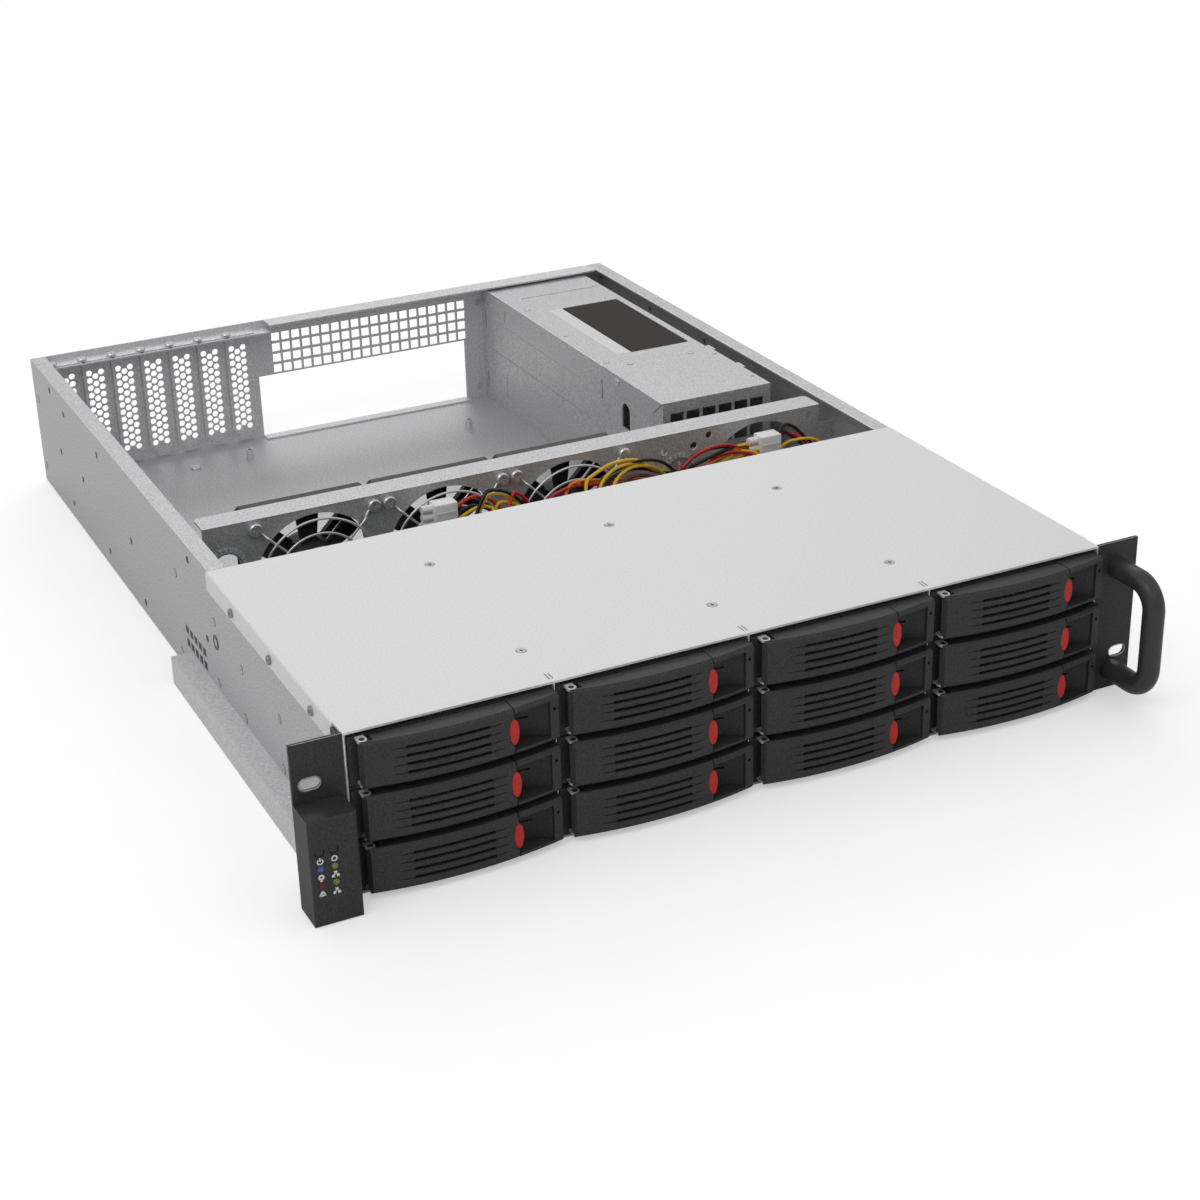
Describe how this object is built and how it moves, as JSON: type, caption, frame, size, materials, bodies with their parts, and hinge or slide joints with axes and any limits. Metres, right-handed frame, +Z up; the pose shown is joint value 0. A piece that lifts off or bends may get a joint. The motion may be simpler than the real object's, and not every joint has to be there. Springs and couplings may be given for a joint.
{
  "type": "rack server barebone",
  "caption": "Two-unit rack server barebone with sliding drive trays, latch levers, fan wall, bent-sheet chassis, rear slot openings and a redundant power supply.",
  "frame": {"origin": "middle of the underside of the whole object's box, on the plane that the chassis floor stands on", "axes": "+X to the right seen from the front, +Y to the rear along the depth, +Z up through the height"},
  "size_m": [0.4826, 0.663, 0.088],
  "materials": {
    "zinc_steel": "fine-grained zinc-coated sheet steel",
    "black_steel": "black powder coat",
    "black_plastic": "satin black",
    "red_plastic": "smooth",
    "circuit_board": "satin",
    "bright_wire": "bright zinc and nickel",
    "cable_jacket": "soft jacket"
  },
  "bodies": {
    "chassis": {"chassis_tub": "zinc_steel", "rear_panel": "zinc_steel", "front_cover": "zinc_steel", "slot_brackets": "zinc_steel", "drive_cage": "zinc_steel", "backplane": "circuit_board", "rack_ears": "black_steel", "handle": "black_steel", "control_box": "black_plastic", "front_panel_board": "circuit_board", "side_channel": "zinc_steel", "fan_wall": "zinc_steel", "fan_frames": "black_plastic", "fan_guards": "bright_wire", "psu_cage": "zinc_steel", "wiring_harness": "cable_jacket", "fasteners": "bright_wire"},
    "fan_rotor_1": {"fan_rotor_1": "black_plastic"},
    "fan_rotor_2": {"fan_rotor_2": "black_plastic"},
    "fan_rotor_3": {"fan_rotor_3": "black_plastic"},
    "psu_module_lower": {"psu_module_lower": "zinc_steel"},
    "psu_module_upper": {"psu_module_upper": "zinc_steel"},
    "power_button": {"power_button": "black_plastic"},
    "reset_button": {"reset_button": "black_plastic"},
    "tray_bottom_1": {"tray_bottom_1": "black_steel"},
    "lever_bottom_1": {"lever_bottom_1": "black_plastic"},
    "release_bottom_1": {"release_bottom_1": "red_plastic"},
    "tray_bottom_2": {"tray_bottom_2": "black_steel"},
    "lever_bottom_2": {"lever_bottom_2": "black_plastic"},
    "release_bottom_2": {"release_bottom_2": "red_plastic"},
    "tray_bottom_3": {"tray_bottom_3": "black_steel"},
    "lever_bottom_3": {"lever_bottom_3": "black_plastic"},
    "release_bottom_3": {"release_bottom_3": "red_plastic"},
    "tray_bottom_4": {"tray_bottom_4": "black_steel"},
    "lever_bottom_4": {"lever_bottom_4": "black_plastic"},
    "release_bottom_4": {"release_bottom_4": "red_plastic"},
    "tray_middle_1": {"tray_middle_1": "black_steel"},
    "lever_middle_1": {"lever_middle_1": "black_plastic"},
    "release_middle_1": {"release_middle_1": "red_plastic"},
    "tray_middle_2": {"tray_middle_2": "black_steel"},
    "lever_middle_2": {"lever_middle_2": "black_plastic"},
    "release_middle_2": {"release_middle_2": "red_plastic"},
    "tray_middle_3": {"tray_middle_3": "black_steel"},
    "lever_middle_3": {"lever_middle_3": "black_plastic"},
    "release_middle_3": {"release_middle_3": "red_plastic"},
    "tray_middle_4": {"tray_middle_4": "black_steel"},
    "lever_middle_4": {"lever_middle_4": "black_plastic"},
    "release_middle_4": {"release_middle_4": "red_plastic"},
    "tray_top_1": {"tray_top_1": "black_steel"},
    "lever_top_1": {"lever_top_1": "black_plastic"},
    "release_top_1": {"release_top_1": "red_plastic"},
    "tray_top_2": {"tray_top_2": "black_steel"},
    "lever_top_2": {"lever_top_2": "black_plastic"},
    "release_top_2": {"release_top_2": "red_plastic"},
    "tray_top_3": {"tray_top_3": "black_steel"},
    "lever_top_3": {"lever_top_3": "black_plastic"},
    "release_top_3": {"release_top_3": "red_plastic"},
    "tray_top_4": {"tray_top_4": "black_steel"},
    "lever_top_4": {"lever_top_4": "black_plastic"},
    "release_top_4": {"release_top_4": "red_plastic"}
  },
  "joints": [
    {"name": "fan_1_spin", "type": "hinge", "parent": "chassis", "child": "fan_rotor_1", "pos_m": [-0.13335, -0.0025, 0.0445], "axis": [0, 1, 0], "continuous": true},
    {"name": "fan_2_spin", "type": "hinge", "parent": "chassis", "child": "fan_rotor_2", "pos_m": [-0.05248, -0.0025, 0.0445], "axis": [0, 1, 0], "continuous": true},
    {"name": "fan_3_spin", "type": "hinge", "parent": "chassis", "child": "fan_rotor_3", "pos_m": [0.02839, -0.0025, 0.0445], "axis": [0, 1, 0], "continuous": true},
    {"name": "psu_module_lower_slide", "type": "slide", "parent": "chassis", "child": "psu_module_lower", "axis": [0, 1, 0], "range_m": [0, 0.19]},
    {"name": "psu_module_upper_slide", "type": "slide", "parent": "chassis", "child": "psu_module_upper", "axis": [0, 1, 0], "range_m": [0, 0.19]},
    {"name": "power_button_press", "type": "slide", "parent": "chassis", "child": "power_button", "axis": [0, 1, 0], "range_m": [0, 0.0012], "stiffness_N_per_m": 300, "springref_m": -0.001},
    {"name": "reset_button_press", "type": "slide", "parent": "chassis", "child": "reset_button", "axis": [0, 1, 0], "range_m": [0, 0.0012], "stiffness_N_per_m": 300, "springref_m": -0.001},
    {"name": "tray_bottom_1_slide", "type": "slide", "parent": "chassis", "child": "tray_bottom_1", "axis": [0, -1, 0], "range_m": [0, 0.15]},
    {"name": "lever_bottom_1_swing", "type": "hinge", "parent": "tray_bottom_1", "child": "lever_bottom_1", "pos_m": [-0.20713, -0.2965, 0.01547], "axis": [0, 0, -1], "range_deg": [0, 65]},
    {"name": "release_bottom_1_press", "type": "slide", "parent": "tray_bottom_1", "child": "release_bottom_1", "axis": [0, 1, 0], "range_m": [0, 0.002], "stiffness_N_per_m": 400, "springref_m": -0.001},
    {"name": "tray_bottom_2_slide", "type": "slide", "parent": "chassis", "child": "tray_bottom_2", "axis": [0, -1, 0], "range_m": [0, 0.15]},
    {"name": "lever_bottom_2_swing", "type": "hinge", "parent": "tray_bottom_2", "child": "lever_bottom_2", "pos_m": [-0.09997, -0.2965, 0.01547], "axis": [0, 0, -1], "range_deg": [0, 65]},
    {"name": "release_bottom_2_press", "type": "slide", "parent": "tray_bottom_2", "child": "release_bottom_2", "axis": [0, 1, 0], "range_m": [0, 0.002], "stiffness_N_per_m": 400, "springref_m": -0.001},
    {"name": "tray_bottom_3_slide", "type": "slide", "parent": "chassis", "child": "tray_bottom_3", "axis": [0, -1, 0], "range_m": [0, 0.15]},
    {"name": "lever_bottom_3_swing", "type": "hinge", "parent": "tray_bottom_3", "child": "lever_bottom_3", "pos_m": [0.00717, -0.2965, 0.01547], "axis": [0, 0, -1], "range_deg": [0, 65]},
    {"name": "release_bottom_3_press", "type": "slide", "parent": "tray_bottom_3", "child": "release_bottom_3", "axis": [0, 1, 0], "range_m": [0, 0.002], "stiffness_N_per_m": 400, "springref_m": -0.001},
    {"name": "tray_bottom_4_slide", "type": "slide", "parent": "chassis", "child": "tray_bottom_4", "axis": [0, -1, 0], "range_m": [0, 0.15]},
    {"name": "lever_bottom_4_swing", "type": "hinge", "parent": "tray_bottom_4", "child": "lever_bottom_4", "pos_m": [0.11432, -0.2965, 0.01547], "axis": [0, 0, -1], "range_deg": [0, 65]},
    {"name": "release_bottom_4_press", "type": "slide", "parent": "tray_bottom_4", "child": "release_bottom_4", "axis": [0, 1, 0], "range_m": [0, 0.002], "stiffness_N_per_m": 400, "springref_m": -0.001},
    {"name": "tray_middle_1_slide", "type": "slide", "parent": "chassis", "child": "tray_middle_1", "axis": [0, -1, 0], "range_m": [0, 0.15]},
    {"name": "lever_middle_1_swing", "type": "hinge", "parent": "tray_middle_1", "child": "lever_middle_1", "pos_m": [-0.20713, -0.2965, 0.044], "axis": [0, 0, -1], "range_deg": [0, 65]},
    {"name": "release_middle_1_press", "type": "slide", "parent": "tray_middle_1", "child": "release_middle_1", "axis": [0, 1, 0], "range_m": [0, 0.002], "stiffness_N_per_m": 400, "springref_m": -0.001},
    {"name": "tray_middle_2_slide", "type": "slide", "parent": "chassis", "child": "tray_middle_2", "axis": [0, -1, 0], "range_m": [0, 0.15]},
    {"name": "lever_middle_2_swing", "type": "hinge", "parent": "tray_middle_2", "child": "lever_middle_2", "pos_m": [-0.09997, -0.2965, 0.044], "axis": [0, 0, -1], "range_deg": [0, 65]},
    {"name": "release_middle_2_press", "type": "slide", "parent": "tray_middle_2", "child": "release_middle_2", "axis": [0, 1, 0], "range_m": [0, 0.002], "stiffness_N_per_m": 400, "springref_m": -0.001},
    {"name": "tray_middle_3_slide", "type": "slide", "parent": "chassis", "child": "tray_middle_3", "axis": [0, -1, 0], "range_m": [0, 0.15]},
    {"name": "lever_middle_3_swing", "type": "hinge", "parent": "tray_middle_3", "child": "lever_middle_3", "pos_m": [0.00717, -0.2965, 0.044], "axis": [0, 0, -1], "range_deg": [0, 65]},
    {"name": "release_middle_3_press", "type": "slide", "parent": "tray_middle_3", "child": "release_middle_3", "axis": [0, 1, 0], "range_m": [0, 0.002], "stiffness_N_per_m": 400, "springref_m": -0.001},
    {"name": "tray_middle_4_slide", "type": "slide", "parent": "chassis", "child": "tray_middle_4", "axis": [0, -1, 0], "range_m": [0, 0.15]},
    {"name": "lever_middle_4_swing", "type": "hinge", "parent": "tray_middle_4", "child": "lever_middle_4", "pos_m": [0.11432, -0.2965, 0.044], "axis": [0, 0, -1], "range_deg": [0, 65]},
    {"name": "release_middle_4_press", "type": "slide", "parent": "tray_middle_4", "child": "release_middle_4", "axis": [0, 1, 0], "range_m": [0, 0.002], "stiffness_N_per_m": 400, "springref_m": -0.001},
    {"name": "tray_top_1_slide", "type": "slide", "parent": "chassis", "child": "tray_top_1", "axis": [0, -1, 0], "range_m": [0, 0.15]},
    {"name": "lever_top_1_swing", "type": "hinge", "parent": "tray_top_1", "child": "lever_top_1", "pos_m": [-0.20713, -0.2965, 0.07253], "axis": [0, 0, -1], "range_deg": [0, 65]},
    {"name": "release_top_1_press", "type": "slide", "parent": "tray_top_1", "child": "release_top_1", "axis": [0, 1, 0], "range_m": [0, 0.002], "stiffness_N_per_m": 400, "springref_m": -0.001},
    {"name": "tray_top_2_slide", "type": "slide", "parent": "chassis", "child": "tray_top_2", "axis": [0, -1, 0], "range_m": [0, 0.15]},
    {"name": "lever_top_2_swing", "type": "hinge", "parent": "tray_top_2", "child": "lever_top_2", "pos_m": [-0.09997, -0.2965, 0.07253], "axis": [0, 0, -1], "range_deg": [0, 65]},
    {"name": "release_top_2_press", "type": "slide", "parent": "tray_top_2", "child": "release_top_2", "axis": [0, 1, 0], "range_m": [0, 0.002], "stiffness_N_per_m": 400, "springref_m": -0.001},
    {"name": "tray_top_3_slide", "type": "slide", "parent": "chassis", "child": "tray_top_3", "axis": [0, -1, 0], "range_m": [0, 0.15]},
    {"name": "lever_top_3_swing", "type": "hinge", "parent": "tray_top_3", "child": "lever_top_3", "pos_m": [0.00717, -0.2965, 0.07253], "axis": [0, 0, -1], "range_deg": [0, 65]},
    {"name": "release_top_3_press", "type": "slide", "parent": "tray_top_3", "child": "release_top_3", "axis": [0, 1, 0], "range_m": [0, 0.002], "stiffness_N_per_m": 400, "springref_m": -0.001},
    {"name": "tray_top_4_slide", "type": "slide", "parent": "chassis", "child": "tray_top_4", "axis": [0, -1, 0], "range_m": [0, 0.15]},
    {"name": "lever_top_4_swing", "type": "hinge", "parent": "tray_top_4", "child": "lever_top_4", "pos_m": [0.11432, -0.2965, 0.07253], "axis": [0, 0, -1], "range_deg": [0, 65]},
    {"name": "release_top_4_press", "type": "slide", "parent": "tray_top_4", "child": "release_top_4", "axis": [0, 1, 0], "range_m": [0, 0.002], "stiffness_N_per_m": 400, "springref_m": -0.001}
  ]
}
